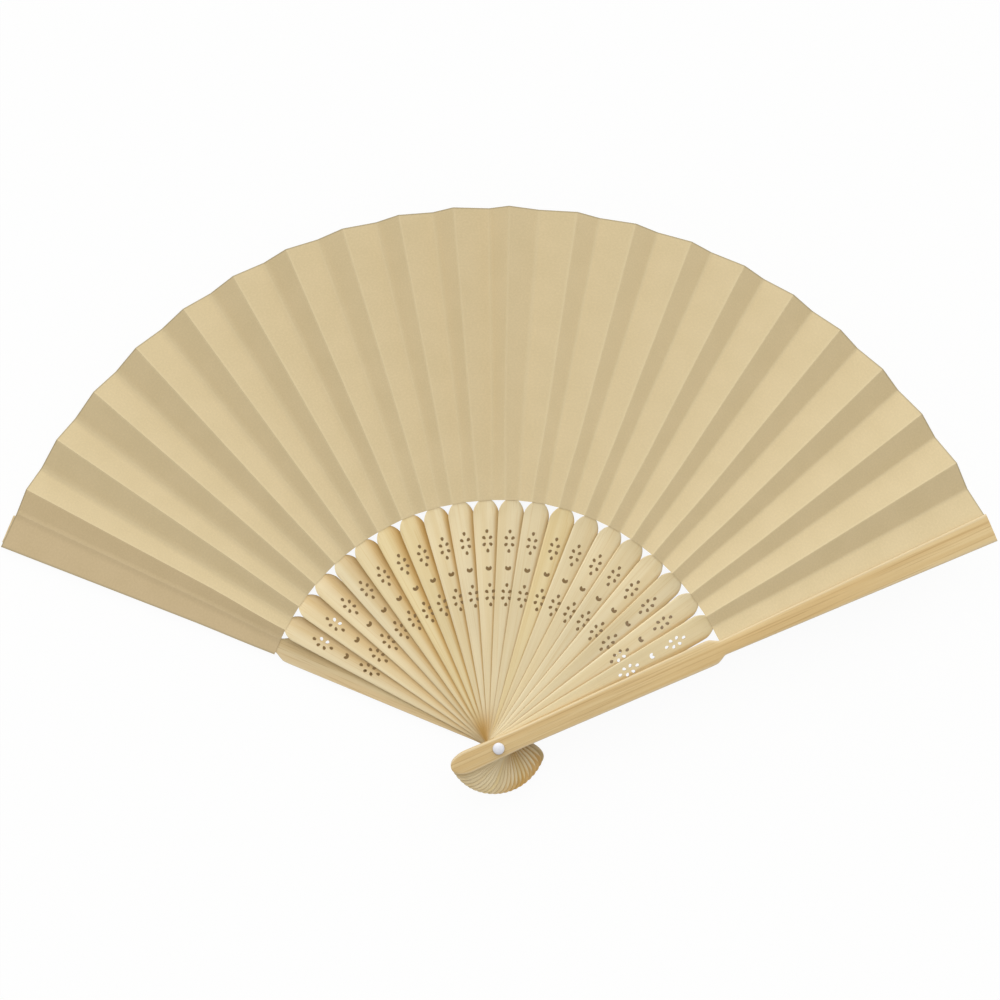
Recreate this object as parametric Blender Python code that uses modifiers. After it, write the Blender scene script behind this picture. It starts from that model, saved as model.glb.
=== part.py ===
"""A folding hand fan of bamboo, fully open and lying on its back.

Twenty thin pierced ribs lie between two thick plain guards, and all of them turn on one
plastic rivet. The pleat that a rib carries turns it about its own length: the rib lies flat
on the rivet, twists on its way to its rounded shoulder, and beyond it thins to a narrow
strip that has the whole slope of the pleat. The rivet's axis is Z through the origin, the flat
underside of the rivet's back head is at height 0, and the leaf spreads towards +Y.
"""

import math

import bmesh
import bpy
from mathutils import Vector

# Driving dimensions, in metres
RIB_COUNT = 20
SPREAD = math.radians(132.0)
FRONT_AZIMUTH = math.radians(24.0)

# Lengths along a stick. The head lies behind the rivet's axis and has one form on every
# stick. The rest lie before it: the waist, the pierced figures, the shoulder, the neck and
# the leaf.
HEAD_REACH = 0.0182
WAIST_REACH = 0.0080
LOWER_FLOWER_REACH = 0.0541
FIGURE_PITCH = 0.0096
SHOULDER_MARGIN = 0.0080
NECK_LENGTH = 0.0065
LEAF_WIDTH = 0.1037
STRIP_SETBACK = 0.0035

# Widths of the sticks
HEAD_WIDTH = 0.0080
WAIST_WIDTH = 0.0069
SHOULDER_WIDTH = 0.0092
STRIP_ROOT_WIDTH = 0.0034
STRIP_TIP_WIDTH = 0.0028
GUARD_NECK_WIDTH = 0.0055
GUARD_TIP_WIDTH = 0.0105
HEAD_ROUNDING = 0.0070

# Thicknesses, and the gaps between pieces that touch
RIB_THICKNESS = 0.0006
RIB_EDGE_DROP = 0.00025
RIB_EDGE_INSET = 0.0009
STRIP_THICKNESS = 0.00035
GUARD_THICKNESS = 0.0022
GUARD_EDGE_DROP = 0.0006
GUARD_CROWN = 0.00015
LEAF_THICKNESS = 0.0002
PLAY = 0.00015
GLUE_GAP = 0.0001
FOLD_GAP = 0.0002

# A guard's inner face tapers to a bed, which leaves room for the twisted ribs and the folded
# leaf. The ribs' twist starts where the taper does.
BED_DEPTH = 0.0011
BED_MARGIN = 0.0018
TAPER_LENGTH = 0.0600

# The leaf
PLEAT_DEPTH = 0.0040

# The rivet
PIN_DIAMETER = 0.0022
BORE_CLEARANCE = 0.0001
RIVET_HEAD_DIAMETER = 0.0042
RIVET_HEAD_HEIGHT = 0.0008
RIVET_HEAD_CHAMFER = 0.0003
PIN_LEAD = 0.0003
SOCKET_DEPTH = 0.0006
CAP_EDGE = 0.0004
CAP_HEIGHT = 0.0013

# The piercings of a rib: two flowers of six petals with a notched moon between them
PETAL_LENGTH = 0.00150
PETAL_WIDTH = 0.00100
TIP_PETAL_OFFSET = 0.00345
SIDE_PETAL_ALONG = 0.00118
SIDE_PETAL_ACROSS = 0.00122
MOON_HEIGHT = 0.0016
MOON_WIDTH = 0.0022
CUT_OVERRUN = 0.0010

# Corners of a petal, as shares of its length and width
PETAL_SHARES = ((0.5, 0.0), (0.17, 0.5), (-0.25, 0.42), (-0.5, 0.0), (-0.25, -0.42), (0.17, -0.5))
# Corners of the right half of the moon, from the notch round to its foot, as shares of its
# height and width
MOON_SHARES = ((0.0, 0.0), (0.42, 0.18), (0.5, 0.34), (0.12, 0.5), (-0.3, 0.38), (-0.5, 0.14))
# Outer surface of a guard from edge to middle: share of the half width, share of the crown
CROWN_SHARES = ((0.82, 1.0), (0.38, 0.2))
# Angles round a stick's head and its shoulder, as shares of the whole curve
HEAD_SHARES = (0.12, 0.36, 0.64, 1.0)
SHOULDER_SHARES = (0.27, 0.52, 0.77, 1.0)
HEAD_BLUNTNESS = 0.85
# Where a rib's twist is given, as shares of the way from its start to the shoulder
TWIST_SHARES = (0.0, 0.35, 0.7)
# How much of the twist a rib has at its shoulder
SHOULDER_TWIST_SHARE = 0.5
# How much of its worn edge a rib keeps where it has thinned to a strip
STRIP_EDGE_SHARE = 0.2

# Corners this near to one plane count as flat, and points this near as one
FLATNESS = 0.0000001
WELD = 0.000001

BORE_SIDES = 16
RIVET_SIDES = 24
DOME_STEPS = 5

# Sizes that follow from those above
MOON_REACH = LOWER_FLOWER_REACH + FIGURE_PITCH
UPPER_FLOWER_REACH = MOON_REACH + FIGURE_PITCH
SHOULDER_REACH = UPPER_FLOWER_REACH + SHOULDER_MARGIN
LEAF_INNER = SHOULDER_REACH + NECK_LENGTH
LEAF_OUTER = LEAF_INNER + LEAF_WIDTH
TAPER_START = LEAF_INNER - BED_MARGIN - TAPER_LENGTH
STEP = SPREAD / (RIB_COUNT + 1)
HALF_PANEL = STEP / 4
STICK_PITCH = RIB_THICKNESS + PLAY
PLEAT_RISE = PLEAT_DEPTH / 2 / LEAF_OUTER
STRIP_SLOPE = PLEAT_RISE / math.sin(HALF_PANEL)
LEAF_HEIGHT = LEAF_THICKNESS * math.hypot(1.0, STRIP_SLOPE)
STRIP_END = LEAF_OUTER - STRIP_SETBACK
BACK_GUARD_Z = RIVET_HEAD_HEIGHT + PLAY + GUARD_THICKNESS / 2
FIRST_RIB_Z = BACK_GUARD_Z + GUARD_THICKNESS / 2 + PLAY + RIB_THICKNESS / 2
LAST_RIB_Z = FIRST_RIB_Z + (RIB_COUNT - 1) * STICK_PITCH
FRONT_GUARD_Z = LAST_RIB_Z + RIB_THICKNESS / 2 + PLAY + GUARD_THICKNESS / 2
CAP_Z = FRONT_GUARD_Z + GUARD_THICKNESS / 2 + PLAY

# Colours of the materials, linear, with roughness
RIB_COLOUR = (0.77, 0.65, 0.38)
GUARD_COLOUR = (0.66, 0.49, 0.24)
LEAF_COLOUR = (0.63, 0.51, 0.30)
RIVET_COLOUR = (0.80, 0.80, 0.85)
BAMBOO_ROUGHNESS = 0.45
LEAF_ROUGHNESS = 0.85
RIVET_ROUGHNESS = 0.30


def clear_scene():
    """Remove whatever the file holds."""
    for item in list(bpy.data.objects):
        bpy.data.objects.remove(item, do_unlink=True)


def make_collection(name):
    """A new collection under the scene's own."""
    made = bpy.data.collections.new(name)
    bpy.context.scene.collection.children.link(made)
    return made


def make_material(name, colour, roughness):
    """A plain Principled material."""
    made = bpy.data.materials.new(name)
    made.use_nodes = True
    shader = made.node_tree.nodes["Principled BSDF"]
    shader.inputs["Base Color"].default_value = (*colour, 1.0)
    shader.inputs["Roughness"].default_value = roughness
    made.diffuse_color = (*colour, 1.0)
    return made


def skin_faces(a, b, c, d):
    """The corners of one face if the four are flat, or else of two triangles.

    a and b lie on one ring, and d and c beyond them on the next. The upper and the lower
    surface of a thin twisted body are cut along the same diagonal, so that its thickness holds.
    """
    height = (b.co - a.co).cross(c.co - a.co).normalized().dot(d.co - a.co)
    if abs(height) < FLATNESS:
        return [(a, b, c, d)]
    if a.co.y < b.co.y:
        return [(a, b, c), (a, c, d)]
    return [(a, b, d), (b, c, d)]


def loft(name, rings):
    """One closed body through a row of rings that have the same number of corners."""
    mesh = bpy.data.meshes.new(name)
    body = bmesh.new()
    rows = [[body.verts.new(corner) for corner in ring] for ring in rings]
    for near, far in zip(rows, rows[1:]):
        for i in range(len(near)):
            j = (i + 1) % len(near)
            for corners in skin_faces(near[i], near[j], far[j], far[i]):
                body.faces.new(corners)
    body.faces.new(rows[0][::-1])
    body.faces.new(rows[-1])
    bmesh.ops.recalc_face_normals(body, faces=body.faces)
    body.to_mesh(mesh)
    body.free()
    return mesh


def evaluated_mesh(item):
    """The item's mesh with its modifiers or its curve applied, and its seams welded."""
    depsgraph = bpy.context.evaluated_depsgraph_get()
    mesh = bpy.data.meshes.new_from_object(item.evaluated_get(depsgraph))
    body = bmesh.new()
    body.from_mesh(mesh)
    bmesh.ops.remove_doubles(body, verts=body.verts, dist=WELD)
    body.to_mesh(mesh)
    body.free()
    return mesh


# The sticks

def azimuth(index):
    """Direction of a stick: 0 is the back guard, RIB_COUNT + 1 is the front guard."""
    return FRONT_AZIMUTH + SPREAD - index * STEP


def stick_height(index):
    """Height of the middle of a stick's thickness."""
    if index == 0:
        return BACK_GUARD_Z
    if index == RIB_COUNT + 1:
        return FRONT_GUARD_Z
    return FIRST_RIB_Z + (index - 1) * STICK_PITCH


def blade_stations(neck_width):
    """Reach and half width of a blade, from its blunt head to the neck past its shoulder."""
    stations = []
    for share in HEAD_SHARES:
        turn = share * math.pi / 2
        reach = -HEAD_REACH + HEAD_ROUNDING * (1.0 - math.cos(turn))
        stations.append((reach, HEAD_WIDTH / 2 * math.sin(turn) ** HEAD_BLUNTNESS))
    stations.append((WAIST_REACH, WAIST_WIDTH / 2))
    stations.append((SHOULDER_REACH, SHOULDER_WIDTH / 2))
    last = math.acos(neck_width / SHOULDER_WIDTH)
    length = (LEAF_INNER - SHOULDER_REACH) / math.sin(last)
    for share in SHOULDER_SHARES:
        turn = share * last
        reach = SHOULDER_REACH + length * math.sin(turn)
        stations.append((reach, SHOULDER_WIDTH / 2 * math.cos(turn)))
    return stations


def ramp(value, start, end):
    """0 before start, 1 after end, and a smooth rise between them."""
    share = min(max((value - start) / (end - start), 0.0), 1.0)
    return share * share * (3.0 - 2.0 * share)


def rib_slope(reach):
    """How steeply a rib's section is tilted across its width."""
    blade = (reach - TAPER_START) / (SHOULDER_REACH - TAPER_START)
    neck = ramp(reach, SHOULDER_REACH, LEAF_INNER)
    share = SHOULDER_TWIST_SHARE
    return STRIP_SLOPE * (share * min(max(blade, 0.0), 1.0) + (1.0 - share) * neck)


def rib_ring(reach, half):
    """Corners of a rib's section: flat below, with worn edges above."""
    change = ramp(reach, SHOULDER_REACH, LEAF_INNER)
    thick = RIB_THICKNESS + change * (STRIP_THICKNESS - RIB_THICKNESS)
    edge = 1.0 + change * (STRIP_EDGE_SHARE - 1.0)
    side = thick / 2 - edge * RIB_EDGE_DROP
    inner = half - edge * RIB_EDGE_INSET
    corners = [(-half, -thick / 2), (half, -thick / 2), (half, side), (inner, thick / 2)]
    corners += [(-inner, thick / 2), (-half, side)]
    slope = rib_slope(reach)
    return [Vector((reach, across, up + slope * across)) for across, up in corners]


def add_stations(stations, reaches):
    """More stations at these reaches, between the ones that are there."""
    added = []
    for reach in reaches:
        before = max(station for station in stations if station[0] < reach)
        after = min(station for station in stations if station[0] > reach)
        share = (reach - before[0]) / (after[0] - before[0])
        added.append((reach, before[1] + share * (after[1] - before[1])))
    return sorted(stations + added)


def rib_stations():
    """Stations of a rib, with more of them where it twists."""
    stations = blade_stations(STRIP_ROOT_WIDTH)
    stations.append((STRIP_END, STRIP_TIP_WIDTH / 2))
    twisted = SHOULDER_REACH - TAPER_START
    return add_stations(stations, [TAPER_START + share * twisted for share in TWIST_SHARES])


def guard_ring(reach, half):
    """Corners of a guard's section: a flat inner face below and a crowned outer one."""
    taper_share = min(max((reach - TAPER_START) / TAPER_LENGTH, 0.0), 1.0)
    inner = taper_share * BED_DEPTH - GUARD_THICKNESS / 2
    outer = GUARD_THICKNESS / 2
    arch = [(half, outer - GUARD_EDGE_DROP)]
    for side, drop in CROWN_SHARES:
        arch.append((side * half, outer - drop * GUARD_CROWN))
    corners = [(-half, inner), (half, inner)] + arch
    corners += [(-across, up) for across, up in reversed(arch)]
    return [Vector((reach, across, up)) for across, up in corners]


def guard_stations():
    """Stations of a guard, with one more at each end of its inner face's taper."""
    stations = blade_stations(GUARD_NECK_WIDTH)
    stations.append((LEAF_OUTER, GUARD_TIP_WIDTH / 2))
    return add_stations(stations, [TAPER_START, TAPER_START + TAPER_LENGTH])


# The cutters

def flat_cutter(name, outlines, thickness, collection):
    """Closed outlines in the XY plane, raised and sunk past a stick of this thickness."""
    curve = bpy.data.curves.new(name, "CURVE")
    curve.dimensions = "2D"
    curve.fill_mode = "BOTH"
    curve.extrude = thickness / 2 + CUT_OVERRUN
    for outline in outlines:
        spline = curve.splines.new("POLY")
        spline.points.add(len(outline) - 1)
        for point, (x, y) in zip(spline.points, outline):
            point.co = (x, y, 0.0, 1.0)
        spline.use_cyclic_u = True
    drawn = bpy.data.objects.new(name + "_curve", curve)
    collection.objects.link(drawn)
    cutter = bpy.data.objects.new(name, evaluated_mesh(drawn))
    cutter.matrix_world = drawn.matrix_world
    bpy.data.objects.remove(drawn, do_unlink=True)
    cutter.hide_render = True
    cutter.display_type = "WIRE"
    collection.objects.link(cutter)
    return cutter


def circle_outline(radius, sides):
    """Corners of a regular polygon about the origin."""
    turns = [2 * math.pi * i / sides for i in range(sides)]
    return [(radius * math.cos(turn), radius * math.sin(turn)) for turn in turns]


def petal_outline(centre, along, across):
    """One petal of a flower, pointing away from the flower's centre."""
    direction = math.atan2(across, along)
    cos, sin = math.cos(direction), math.sin(direction)
    outline = []
    for length_share, width_share in PETAL_SHARES:
        x = length_share * PETAL_LENGTH
        y = width_share * PETAL_WIDTH
        outline.append((centre + along + x * cos - y * sin, across + x * sin + y * cos))
    return outline


def flower_outlines(centre):
    """Six petals: one at each end, and two on each side."""
    places = [(TIP_PETAL_OFFSET, 0.0), (-TIP_PETAL_OFFSET, 0.0)]
    for along in (SIDE_PETAL_ALONG, -SIDE_PETAL_ALONG):
        for across in (SIDE_PETAL_ACROSS, -SIDE_PETAL_ACROSS):
            places.append((along, across))
    return [petal_outline(centre, along, across) for along, across in places]


def moon_outline():
    """The notched moon between the flowers, open towards the leaf."""
    half = [(along * MOON_HEIGHT, across * MOON_WIDTH) for along, across in MOON_SHARES]
    other = [(along, -across) for along, across in reversed(half[1:])]
    return [(MOON_REACH + along, across) for along, across in half + other]


def cut_mesh(mesh, cutters):
    """A copy of the mesh with every cutter taken out of it."""
    blank = bpy.data.objects.new(mesh.name + "_blank", mesh)
    bpy.context.scene.collection.objects.link(blank)
    for cutter in cutters:
        cut = blank.modifiers.new(cutter.name, "BOOLEAN")
        cut.operation = "DIFFERENCE"
        cut.solver = "EXACT"
        cut.object = cutter
    result = evaluated_mesh(blank)
    result.name = mesh.name + "_cut"
    bpy.data.objects.remove(blank, do_unlink=True)
    return result


# The leaf

def leaf_base(index):
    """Height of the leaf's middle on a stick's centre line, over the stick's own middle."""
    if index == 0:
        return GUARD_THICKNESS / 2 - BED_DEPTH + GLUE_GAP + LEAF_THICKNESS / 2
    if index == RIB_COUNT + 1:
        return BED_DEPTH - GUARD_THICKNESS / 2 - GLUE_GAP - LEAF_THICKNESS / 2
    seat = (STRIP_THICKNESS + LEAF_HEIGHT) / 2
    return seat + GLUE_GAP * math.hypot(1.0, STRIP_SLOPE)


def crease(index, side, home):
    """A fold of the leaf beside a stick, seen from the home stick's own frame.

    side is 1 for the ridge and -1 for the valley. The result is the fold's direction, its
    height over the axis and its rise for each metre of radius. Beside a guard it lies flat.
    """
    turn = azimuth(index) - azimuth(home) + side * HALF_PANEL
    height = stick_height(index) - stick_height(home) + leaf_base(index)
    rise = side * PLEAT_RISE if 0 < index <= RIB_COUNT else 0.0
    return turn, height, rise


def leaf_ring(radius, folds):
    """Section of a piece of the leaf at one radius. Each fold also says how far it is
    drawn in from the neighbouring piece, along the arc."""
    top = []
    for (turn, height, rise), inset in folds:
        x = radius * math.cos(turn) + inset * math.sin(turn)
        y = radius * math.sin(turn) - inset * math.cos(turn)
        top.append(Vector((x, y, height + rise * radius + LEAF_HEIGHT / 2)))
    drop = Vector((0.0, 0.0, LEAF_HEIGHT))
    return top + [corner - drop for corner in reversed(top)]


def pleat_mesh(name, index):
    """The panel glued to a stick and the free panel that rises to the next ridge."""
    folds = [(crease(index, 1, index), FOLD_GAP / 2), (crease(index, -1, index), 0.0)]
    if index <= RIB_COUNT:
        folds.append((crease(index + 1, 1, index), -FOLD_GAP / 2))
    return loft(name, [leaf_ring(LEAF_INNER, folds), leaf_ring(LEAF_OUTER, folds)])


# The rivet

def turned_mesh(name, profile):
    """A profile of radius and height, from the top down its outer side, turned about Z."""
    mesh = bpy.data.meshes.new(name + "_profile")
    edges = [(i, i + 1) for i in range(len(profile) - 1)]
    mesh.from_pydata([(radius, 0.0, height) for radius, height in profile], edges, [])
    drawn = bpy.data.objects.new(name + "_profile", mesh)
    bpy.context.scene.collection.objects.link(drawn)
    turn = drawn.modifiers.new("turn", "SCREW")
    turn.axis = "Z"
    turn.steps = RIVET_SIDES
    turn.render_steps = RIVET_SIDES
    turn.use_merge_vertices = True
    turn.merge_threshold = WELD
    result = evaluated_mesh(drawn)
    result.name = name
    bpy.data.objects.remove(drawn, do_unlink=True)
    return result


def pin_mesh():
    """The rivet's shaft, with the flat back head that the fan rests on."""
    top = CAP_Z + SOCKET_DEPTH - PLAY
    shaft = PIN_DIAMETER / 2
    head = RIVET_HEAD_DIAMETER / 2
    profile = [
        (0.0, top),
        (shaft - PIN_LEAD, top),
        (shaft, top - PIN_LEAD),
        (shaft, RIVET_HEAD_HEIGHT),
        (head, RIVET_HEAD_HEIGHT),
        (head, RIVET_HEAD_CHAMFER),
        (head - RIVET_HEAD_CHAMFER, 0.0),
        (0.0, 0.0),
    ]
    return turned_mesh("rivet_pin", profile)


def cap_mesh():
    """The domed cap, with the socket that the shaft's end is pushed into."""
    head = RIVET_HEAD_DIAMETER / 2
    socket = PIN_DIAMETER / 2 + BORE_CLEARANCE
    dome = CAP_HEIGHT - CAP_EDGE
    profile = [(0.0, CAP_Z + CAP_HEIGHT)]
    for i in range(1, DOME_STEPS + 1):
        turn = math.pi / 2 * i / DOME_STEPS
        profile.append((head * math.sin(turn), CAP_Z + CAP_EDGE + dome * math.cos(turn)))
    profile.append((head, CAP_Z))
    profile.append((socket, CAP_Z))
    profile.append((socket, CAP_Z + SOCKET_DEPTH))
    profile.append((0.0, CAP_Z + SOCKET_DEPTH))
    return turned_mesh("rivet_cap", profile)


# The whole fan

def place(name, mesh, material, collection, parent=None):
    """A named object with its own material, under the empty that carries it."""
    item = bpy.data.objects.new(name, mesh)
    collection.objects.link(item)
    if not mesh.materials:
        mesh.materials.append(material)
    item.parent = parent
    return item


def pivot(index, collection):
    """The empty on the rivet's axis that a stick and its piece of the leaf turn about."""
    made = bpy.data.objects.new(f"pivot_{index:02d}", None)
    made.empty_display_size = PIN_DIAMETER
    made.location.z = stick_height(index)
    made.rotation_euler.z = azimuth(index)
    collection.objects.link(made)
    return made


def build_fan():
    """Make every piece."""
    clear_scene()
    fan = make_collection("bamboo_hand_fan")
    cutters = make_collection("cutters")
    rib_bamboo = make_material("rib_bamboo", RIB_COLOUR, BAMBOO_ROUGHNESS)
    guard_bamboo = make_material("guard_bamboo", GUARD_COLOUR, BAMBOO_ROUGHNESS)
    leaf_paper = make_material("leaf_paper", LEAF_COLOUR, LEAF_ROUGHNESS)
    rivet_plastic = make_material("rivet_plastic", RIVET_COLOUR, RIVET_ROUGHNESS)

    bore = circle_outline(PIN_DIAMETER / 2 + BORE_CLEARANCE, BORE_SIDES)
    bore_cutter = flat_cutter("pivot_bore", [bore], GUARD_THICKNESS, cutters)
    outlines = flower_outlines(LOWER_FLOWER_REACH) + flower_outlines(UPPER_FLOWER_REACH)
    outlines.append(moon_outline())
    piercing_cutter = flat_cutter("rib_piercings", outlines, RIB_THICKNESS, cutters)

    rib_blank = loft("rib", [rib_ring(reach, half) for reach, half in rib_stations()])
    rib = cut_mesh(rib_blank, [bore_cutter, piercing_cutter])
    guard_rings = [guard_ring(reach, half) for reach, half in guard_stations()]
    guard = cut_mesh(loft("guard", guard_rings), [bore_cutter])

    pivots = [pivot(index, fan) for index in range(RIB_COUNT + 2)]
    back = place("back_guard", guard, guard_bamboo, fan, pivots[0])
    back.rotation_euler.x = math.pi
    for index in range(1, RIB_COUNT + 1):
        place(f"rib_{index:02d}", rib, rib_bamboo, fan, pivots[index])
    place("front_guard", guard, guard_bamboo, fan, pivots[-1])

    middle_pleat = pleat_mesh("leaf_pleat", 1)
    for index in range(RIB_COUNT + 1):
        alike = 0 < index < RIB_COUNT
        mesh = middle_pleat if alike else pleat_mesh(f"leaf_pleat_{index:02d}", index)
        place(f"leaf_pleat_{index:02d}", mesh, leaf_paper, fan, pivots[index])
    end = pleat_mesh("leaf_end_panel", RIB_COUNT + 1)
    place("leaf_end_panel", end, leaf_paper, fan, pivots[-1])

    place("rivet_pin", pin_mesh(), rivet_plastic, fan)
    place("rivet_cap", cap_mesh(), rivet_plastic, fan)
    for mesh in bpy.data.meshes:
        if mesh.name.startswith("rivet"):
            mesh.shade_smooth()
            mesh.set_sharp_from_angle(angle=math.radians(40.0))


build_fan()
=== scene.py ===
# %% [markdown]
# # A bamboo hand fan, dressed
# The imported CAD model is loaded first. Every piece made below stands in the place of one CAD
# solid, and all pieces but the leaf's folds hang on the body of their stick. The finished fan may
# not grow past it.

import math

import bmesh
import bpy
import numpy as np
from mathutils import Matrix, Vector


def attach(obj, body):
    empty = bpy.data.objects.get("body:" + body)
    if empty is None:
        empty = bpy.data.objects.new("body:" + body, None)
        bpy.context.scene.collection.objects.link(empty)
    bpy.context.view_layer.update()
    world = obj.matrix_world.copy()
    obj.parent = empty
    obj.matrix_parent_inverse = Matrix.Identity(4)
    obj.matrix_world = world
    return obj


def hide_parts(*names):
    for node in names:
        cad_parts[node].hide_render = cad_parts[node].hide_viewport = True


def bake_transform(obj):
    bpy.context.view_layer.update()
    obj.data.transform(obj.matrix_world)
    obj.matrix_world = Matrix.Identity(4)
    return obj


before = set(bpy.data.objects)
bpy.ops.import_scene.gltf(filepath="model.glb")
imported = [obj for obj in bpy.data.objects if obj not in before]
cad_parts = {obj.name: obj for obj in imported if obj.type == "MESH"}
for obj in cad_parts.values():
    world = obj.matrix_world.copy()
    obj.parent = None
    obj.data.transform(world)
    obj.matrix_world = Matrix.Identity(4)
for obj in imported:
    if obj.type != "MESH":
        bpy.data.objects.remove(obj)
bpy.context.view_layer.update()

# %% [markdown]
# ## The sizes
# A folding fan is drawn from its rivet. Every stick is a copy of the next one, turned by one
# step, so a length along a stick (a reach) and a width across it say all about its shape. The
# values are in metres. Nearly all are those of the CAD model, because a script that stands
# alone can't read them from anywhere else. Necks, filed shoulders and corners are finer here.

# %% The fan's driving sizes
RIB_COUNT = 20
SPREAD = math.radians(132.0)
FRONT_AZIMUTH = math.radians(24.0)
STEP = SPREAD / (RIB_COUNT + 1)
HALF_PANEL = STEP / 4

HEAD_REACH, WAIST = 0.0182, 0.0080
LOWER_FLOWER, MOON, UPPER_FLOWER = 0.0541, 0.0637, 0.0733
SHOULDER, LEAF_INNER, LEAF_OUTER = 0.0813, 0.0878, 0.1915
STRIP_START, STRIP_END = LEAF_INNER + 0.0034, LEAF_OUTER - 0.0035
TAPER_START, TAPER_LENGTH, BED_DEPTH = 0.0260, 0.0600, 0.0011

HEAD_WIDTH, WAIST_WIDTH, SHOULDER_WIDTH, BORE = 0.0080, 0.0069, 0.0092, 0.0024
RIB_NECK_WIDTH, STRIP_ROOT_WIDTH, STRIP_TIP_WIDTH = 0.0042, 0.0034, 0.0028
GUARD_NECK_WIDTH, GUARD_TIP_WIDTH = 0.0055, 0.0105
HEAD_ROUNDING, HEAD_START, HEAD_STEPS = 0.0070, 0.04, 12
ROUND_START, ROUND_LENGTH, SHOULDER_STEPS = 0.0834, 0.0053, 13
CORNER, CORNER_SLOPE, CORNER_ROUNDING = 0.0838, 0.55, 0.0006

RIB_THICKNESS, STRIP_THICKNESS, GUARD_THICKNESS = 0.0006, 0.00035, 0.0022
LEAF_THICKNESS, PLEAT_DEPTH, BACK_HEAD = 0.0002, 0.0040, 0.0008
PLAY, GLUE_GAP, LEAF_LIFT, WELD = 0.00015, 0.0001, 0.00004, 0.000001
PLEAT_RISE = PLEAT_DEPTH / 2 / LEAF_OUTER
STRIP_SLOPE = PLEAT_RISE / math.sin(HALF_PANEL)
LEAF_HEIGHT = LEAF_THICKNESS * math.hypot(1.0, STRIP_SLOPE)


def azimuth(index):
    """Direction of a stick: 0 is the back guard, RIB_COUNT + 1 is the front guard."""
    return FRONT_AZIMUTH + SPREAD - index * STEP


# No two sticks of the fan were opened by quite the same angle, or cut to quite the same length.
# These are the degrees that each leans off the even spread, and its blade's slip in millimetres.
LEANS = (0.3, 0.73, 0.44, 0.1, -0.38, -0.44, -0.55, -0.52, -0.53, -0.36, -0.23)
LEANS += (-0.18, -0.11, -0.18, -0.09, 0.04, 0.33, 0.48, 0.57, 0.4, 0.32, 0.0)
SLIPS = (-1.3, -1.15, -1.15, -0.95, -0.88, -0.84, -0.72, -0.64, -0.56, -0.48, -0.44)
SLIPS += (-0.34, -0.36, -0.22, -0.24, -0.16, -0.12, -0.12, -0.14, -0.25, -0.18, -0.35)


def lie(index):
    """Direction in which a stick of this fan really lies."""
    return azimuth(index) + math.radians(LEANS[index])


def stick_name(index):
    """Name of a stick's CAD node, and of the body that it is part of."""
    if index == 0:
        return "back_guard"
    return "front_guard" if index == RIB_COUNT + 1 else f"rib_{index:02d}"


BACK_GUARD_Z = BACK_HEAD + PLAY + GUARD_THICKNESS / 2
FIRST_RIB_Z = BACK_GUARD_Z + GUARD_THICKNESS / 2 + PLAY + RIB_THICKNESS / 2
LAST_RIB_Z = FIRST_RIB_Z + (RIB_COUNT - 1) * (RIB_THICKNESS + PLAY)
FRONT_GUARD_Z = LAST_RIB_Z + RIB_THICKNESS / 2 + PLAY + GUARD_THICKNESS / 2
CAP_Z = FRONT_GUARD_Z + GUARD_THICKNESS / 2 + PLAY


def stick_height(index):
    """Height of the middle of a stick's thickness."""
    if index == 0:
        return BACK_GUARD_Z
    if index == RIB_COUNT + 1:
        return FRONT_GUARD_Z
    return FIRST_RIB_Z + (index - 1) * (RIB_THICKNESS + PLAY)


print(f"step {math.degrees(STEP):.3f} degrees, pleat slope {STRIP_SLOPE:.3f}")

# %% [markdown]
# ## Node trees in a few words
# Every material and every Geometry Nodes tree below is built by the script. Small helpers keep
# that short: one adds a node and feeds its inputs, and the others do arithmetic, where an input
# is either a number or another node's output.


# %% Helpers for node trees
def feed(tree, socket, value):
    """Link an output to a socket, or set the socket to a plain value."""
    if isinstance(value, bpy.types.NodeSocket):
        tree.links.new(value, socket)
    else:
        socket.default_value = value


def node(tree, kind, inputs=(), **settings):
    """A new node with its settings, and its inputs fed by name or by number."""
    made = tree.nodes.new(kind)
    for name, value in settings.items():
        setattr(made, name, value)
    for key, value in dict(inputs).items():
        feed(tree, made.inputs[key], value)
    return made


def calc(tree, operation, first, second=0.0, third=0.0):
    """The result of one Math node."""
    inputs = {0: first, 1: second, 2: third}
    return node(tree, "ShaderNodeMath", inputs, operation=operation).outputs[0]


def product(tree, *factors):
    """All the factors multiplied, from the first to the last."""
    made = factors[0]
    for factor in factors[1:]:
        made = calc(tree, "MULTIPLY", made, factor)
    return made


def vector(tree, x, y, z):
    """Three numbers put together as a vector."""
    return node(tree, "ShaderNodeCombineXYZ", {0: x, 1: y, 2: z}).outputs[0]


def split(tree, place):
    """A vector's X, Y and Z."""
    return node(tree, "ShaderNodeSeparateXYZ", {0: place}).outputs


def new_material(name):
    """An empty material and its node tree."""
    made = bpy.data.materials.new(name)
    made.use_nodes = True
    made.node_tree.nodes.clear()
    return made, made.node_tree


def stored(tree, name, output="Fac"):
    """A number, or a Vector, that the mesh holds under a name."""
    return node(tree, "ShaderNodeAttribute", attribute_name=name).outputs[output]


def noise(tree, place, scale, detail=2.0):
    """Cloudy values between 0 and 1."""
    inputs = {"Vector": place, "Scale": scale, "Detail": detail}
    return node(tree, "ShaderNodeTexNoise", inputs).outputs[0]


def blend_colours(tree, share, first, second, blend_type="MIX"):
    """One colour mixed over another."""
    inputs = {0: share, 6: first, 7: second}
    made = node(tree, "ShaderNodeMix", inputs, data_type="RGBA", blend_type=blend_type)
    return made.outputs[2]


def brightened(tree, colour, level):
    """A colour times a number."""
    grey = node(tree, "ShaderNodeCombineColor", {0: level, 1: level, 2: level})
    return blend_colours(tree, 1.0, colour, grey.outputs[0], "MULTIPLY")


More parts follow.
